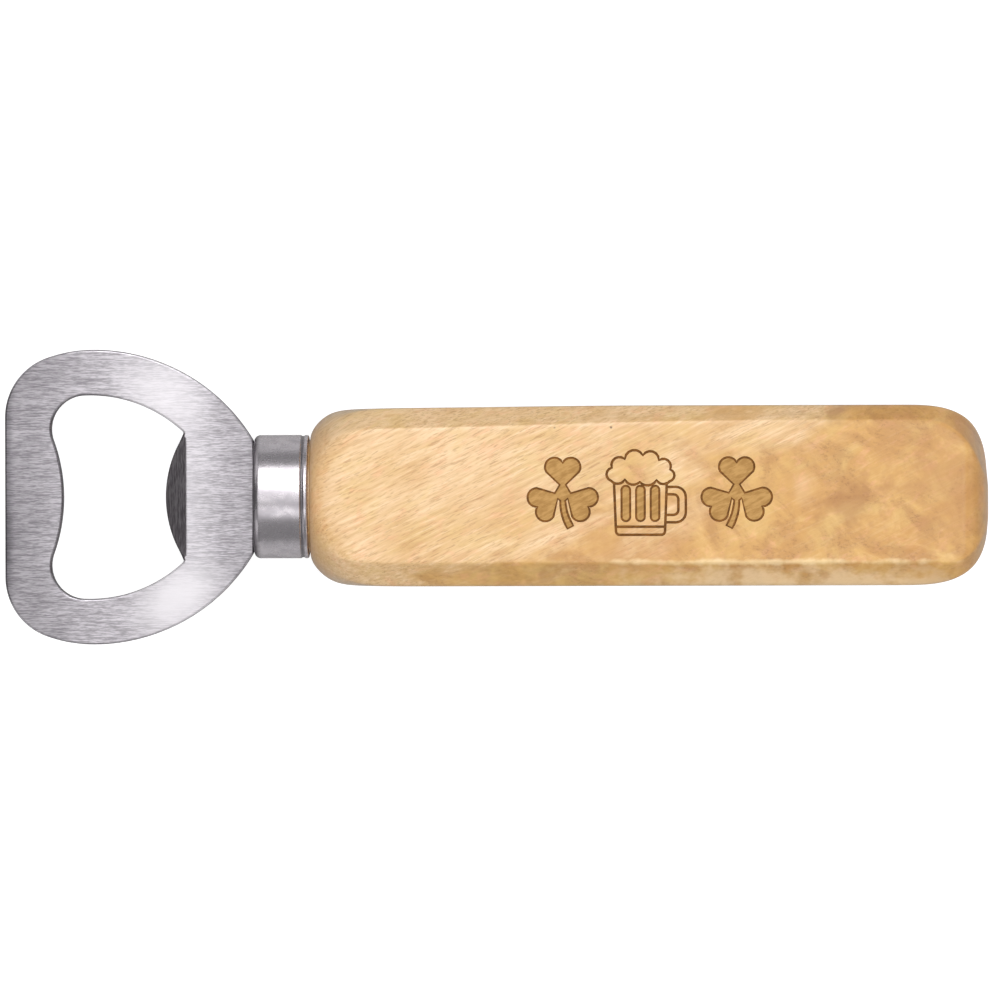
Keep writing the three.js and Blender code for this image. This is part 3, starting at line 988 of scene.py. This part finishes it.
def shamrock(mesh, centre, size, side, z):
    """Three heart-shaped leaves and a curved stem, drawn clockwise."""
    def at(u, v, turn):
        spin = Matrix.Rotation(math.radians(turn), 2) @ Vector((u, v))
        return centre.x + side * size * spin.x, centre.y + size * spin.y

    pen = start_line(mesh, *at(-0.3, 0.8, 0), z)
    for turn in (0, -120, 120):
        if turn:
            pen = line_to(mesh, pen, *at(-0.3, 0.8, turn))
        pen = line_to(mesh, pen, *at(-1.75, 2.2, turn))
        pen = bulge_to(mesh, pen, *at(0, 3.1, turn), -185 * side, 12)
        pen = bulge_to(mesh, pen, *at(1.75, 2.2, turn), -185 * side, 12)
        pen = line_to(mesh, pen, *at(0.3, 0.8, turn))
        if turn == -120:
            pen = line_to(mesh, pen, *at(0.25, -0.9, 0))
            pen = bulge_to(mesh, pen, *at(1.1, -3.6, 0), 30 * side, 6)
            pen = line_to(mesh, pen, *at(0.5, -3.9, 0))
            pen = bulge_to(mesh, pen, *at(-0.25, -0.9, 0), -30 * side, 6)
    line_to(mesh, pen, *at(-0.3, 0.8, 0))


def flute(mesh, middle, z):
    """One tall round-ended flute of the mug."""
    left, right = PICTURE.x + middle - FLUTE_HALF, PICTURE.x + middle + FLUTE_HALF
    low, high = PICTURE.y - 3.6, PICTURE.y + 0.7
    pen = start_line(mesh, left, low, z)
    pen = line_to(mesh, pen, left, high)
    pen = bulge_to(mesh, pen, right, high, -180)
    pen = line_to(mesh, pen, right, low)
    bulge_to(mesh, pen, left, low, -180)


def stamp(name, drawings):
    """Filled shapes, thickened and gathered in one cutter."""
    gathered = bpy.data.meshes.new(name)
    whole = bmesh.new()
    for draw in drawings:
        shape = bmesh.new()
        draw(shape, HALF_HEIGHT + 1)
        fill_outline(shape)
        thicken(shape, shape.faces[:], 1 + TOAST_DEPTH)
        shape.to_mesh(gathered)
        shape.free()
        whole.from_mesh(gathered)
    bpy.data.meshes.remove(gathered)
    return to_object(name, whole)


# %% Stamping the broad shapes
# One shamrock lies on each side of the mug and its handle, with its stem turned inwards.
stamps = []
for side in (1, -1):
    centre = PICTURE + Vector((HANDLE_ROOM - side * SIDE_STEP, 0.4))
    stamps.append(lambda mesh, z, centre=centre, side=side: shamrock(
        mesh, centre, SHAMROCK_SIZE, side, z))
for middle in FLUTES:
    stamps.append(lambda mesh, z, middle=middle: flute(mesh, middle, z))
patches = stamp("stamps", stamps)
patches.data.materials.append(toasted_wood)
cut_away(handle, patches)
print("after the stamps", len(handle.data.polygons), "faces")

# %% Lines on the die
LINE_WIDTH = 0.44
LINE_DEPTH = 0.24
LINE_Z = HALF_HEIGHT + LINE_WIDTH / 2 - LINE_DEPTH
lines = bmesh.new()


def follow(points):
    """A line through points about the picture's middle; a third number makes a bulge."""
    pen = start_line(lines, PICTURE.x + points[0][0], PICTURE.y + points[0][1], LINE_Z)
    for point in points[1:]:
        x, y = PICTURE.x + point[0], PICTURE.y + point[1]
        if len(point) == 3:
            pen = bulge_to(lines, pen, x, y, point[2], 6)
        else:
            pen = line_to(lines, pen, x, y)


# The glass and the top of its base, the outside and inside of the handle, then the foam.
follow([(-4.25, 2.0), (-3.95, -5.9), (-3.35, -6.5, 90), (3.35, -6.5), (3.95, -5.9, 90),
        (4.25, 2.0)])
follow([(-3.95, -5.2), (3.95, -5.2)])
follow([(4.2, 1.2), (5.7, 1.2), (7.3, -0.4, -90), (7.3, -2.9), (5.7, -4.5, -90), (4.05, -4.5)])
follow([(4.15, 0.0), (5.3, 0.0), (6.1, -0.8, -90), (6.1, -2.5), (5.3, -3.3, -90),
        (4.1, -3.3)])
for draw in stamps:
    draw(lines, LINE_Z)
FOAM_TOP = [(-4.7, 2.2), (-4.6, 4.3), (-2.5, 5.7), (0.4, 6.3), (3.0, 5.5), (4.8, 4.0),
            (4.7, 2.1)]
FOAM_DRIPS = [(4.7, 2.1), (2.6, 2.3), (-0.1, 2.0), (-2.5, 2.4), (-4.7, 2.2)]
follow([FOAM_TOP[0]] + [(x, y, -150) for x, y in FOAM_TOP[1:]])
follow([FOAM_DRIPS[0]] + [(x, y, -110) for x, y in FOAM_DRIPS[1:]])
bmesh.ops.remove_doubles(lines, verts=lines.verts, dist=1e-3)
print("lines", len(lines.edges), "strokes")

# %% Giving the lines their thickness, and burning them in
line_die = to_object("line_die", lines)
bpy.ops.object.select_all(action="DESELECT")
bpy.context.view_layer.objects.active = line_die
line_die.select_set(True)
bpy.ops.object.convert(target="CURVE")
line_die = bpy.context.view_layer.objects.active
line_die.data.bevel_depth = LINE_WIDTH / 2 * MM
line_die.data.bevel_resolution = 1
line_die.data.use_fill_caps = True
bpy.ops.object.convert(target="MESH")
line_die = bpy.context.view_layer.objects.active
line_die.data.materials.clear()
line_die.data.materials.append(scorched_wood)
print("line die", len(line_die.data.polygons), "faces")
cut_away(handle, line_die, self_crossing=True)
print("after the lines", len(handle.data.polygons), "faces")

hand_over(handle, "handle")

# %% [markdown]
# ## The glue
#
# The glue keeps its measured shape, because it is never seen whole. It gets an amber epoxy with
# small bubbles, which shows when the opener is taken apart.

# %% Amber epoxy
amber_epoxy, shader = new_finish("amber_epoxy")
bubbles = clouds(amber_epoxy, stretched(amber_epoxy, (1.5, 1.5, 1.5)), 3, 0.6)
amber = blend_colours(
    amber_epoxy, between(amber_epoxy, bubbles, 0.35, 0.65), colour(206, 164, 84),
    colour(184, 138, 62))
amber_epoxy.node_tree.links.new(amber, shader.inputs["Base Color"])
shader.inputs["Roughness"].default_value = 0.25
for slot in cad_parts["tang_glue"].material_slots:
    slot.material = amber_epoxy
print("glue finish:", amber_epoxy.name)

# %% [markdown]
# ## The studio
#
# The opener lies on a plain white table and is seen from straight above through a long lens.

# %% Camera
LENS = 198.65
LENS_PLACE = (0.0006, -0.00064, 0.912)
LENS_TURN = -0.0026
camera_data = bpy.data.cameras.new("long_lens")
camera_data.lens = LENS
camera_data.sensor_width = 36
camera = bpy.data.objects.new("long_lens", camera_data)
camera.location = LENS_PLACE
camera.rotation_euler = (0, 0, LENS_TURN)
bpy.context.scene.collection.objects.link(camera)
bpy.context.scene.camera = camera
print("camera", round(LENS_PLACE[2], 3), "m above the table")

# %% [markdown]
# Wood and steel want different light. A broad sheet overhead and two fills brighten the flats of
# the wood and leave its chamfers a little darker, but are kept out of the steel. The steel
# mirrors three softboxes: one overhead, a bright one behind and a weak one in front. Between
# them the room is dark, which gives the ferrule its dark bands. Four low cards at the corners
# are only mirrored, and keep the steel bright when the opener is seen at a slant.

# %% Softboxes
TARGET = Vector((-0.035, 0, AXIS_HEIGHT * MM))


def softbox(name, lean, sideways, distance, size, brightness, mirrored=True, lights=True):
    """A softbox that leans so many degrees from overhead towards +Y, and sideways to +X."""
    width, height = size
    data = bpy.data.lights.new(name, "AREA")
    data.shape = "RECTANGLE"
    data.size = width
    data.size_y = height
    data.energy = brightness * width * height * math.pi
    light = bpy.data.objects.new(name, data)
    direction = Vector((math.tan(math.radians(sideways)), math.sin(math.radians(lean)),
                        math.cos(math.radians(lean)))).normalized()
    light.location = TARGET + direction * distance
    light.rotation_euler = (-direction).to_track_quat("-Z", "Y").to_euler()
    light.visible_glossy = mirrored
    light.visible_diffuse = lights
    light.visible_camera = False
    bpy.context.scene.collection.objects.link(light)
    return light


softbox("sheet_overhead", -6, 0, 1.5, (1.1, 1.1), 3.2, mirrored=False)
softbox("fill_from_head", 0, -58, 1.2, (0.5, 0.5), 3.8, mirrored=False)
softbox("fill_from_butt", 0, 52, 1.2, (0.5, 0.5), 4.7, mirrored=False)
softbox("box_overhead", 0, 0, 1.3, (0.9, 0.5), 0.8)
softbox("box_behind", 33, 0, 0.73, (0.24, 0.55), 3.6)
softbox("box_front", -28, 0, 0.9, (0.5, 0.32), 1.05)
for name, lean, sideways in (("card_far_left", 66, -42), ("card_far_right", 66, 42),
                             ("card_near_left", -66, -42), ("card_near_right", -66, 42)):
    softbox(name, lean, sideways, 1.0, (0.85, 0.75), 0.75, lights=False)

# %% [markdown]
# The room lights the opener only dimly, but is seen white. The table is seen white too, because
# it glows for the camera alone, while the opener gets no more than its grey reflection.

# %% The room
room = bpy.data.worlds.new("room")
room.use_nodes = True
bpy.context.scene.world = room
ROOM_LIGHT = 0.22
ROOM_SEEN = 1.0
backdrop = room.node_tree.nodes["Background"]
seen = room.node_tree.nodes.new("ShaderNodeLightPath").outputs["Is Camera Ray"]
shade = room.node_tree.nodes.new("ShaderNodeMapRange")
room.node_tree.links.new(seen, shade.inputs["Value"])
shade.inputs["To Min"].default_value = ROOM_LIGHT
shade.inputs["To Max"].default_value = ROOM_SEEN
room.node_tree.links.new(shade.outputs["Result"], backdrop.inputs["Color"])

# %% The table
TABLE_HALF = 3000
TABLE_GREY = 0.4
TABLE_GLOW = 0.82
table_mesh = bmesh.new()
bmesh.ops.create_grid(table_mesh, x_segments=1, y_segments=1, size=TABLE_HALF)
bmesh.ops.translate(table_mesh, verts=table_mesh.verts, vec=(0, 0, -AXIS_HEIGHT - 0.05))
table = to_object("table", table_mesh)
table_white, shader = new_finish("table_white")
shader.inputs["Base Color"].default_value = (TABLE_GREY, TABLE_GREY, TABLE_GREY, 1)
shader.inputs["Roughness"].default_value = 0.8
shader.inputs["Specular IOR Level"].default_value = 0.2
shader.inputs["Emission Color"].default_value = (1, 1, 1, 1)
glow = put(table_white, "ShaderNodeLightPath").outputs["Is Camera Ray"]
table_white.node_tree.links.new(
    sums(table_white, "MULTIPLY", glow, TABLE_GLOW), shader.inputs["Emission Strength"])
table.data.materials.append(table_white)

bpy.context.scene.view_settings.view_transform = "Standard"
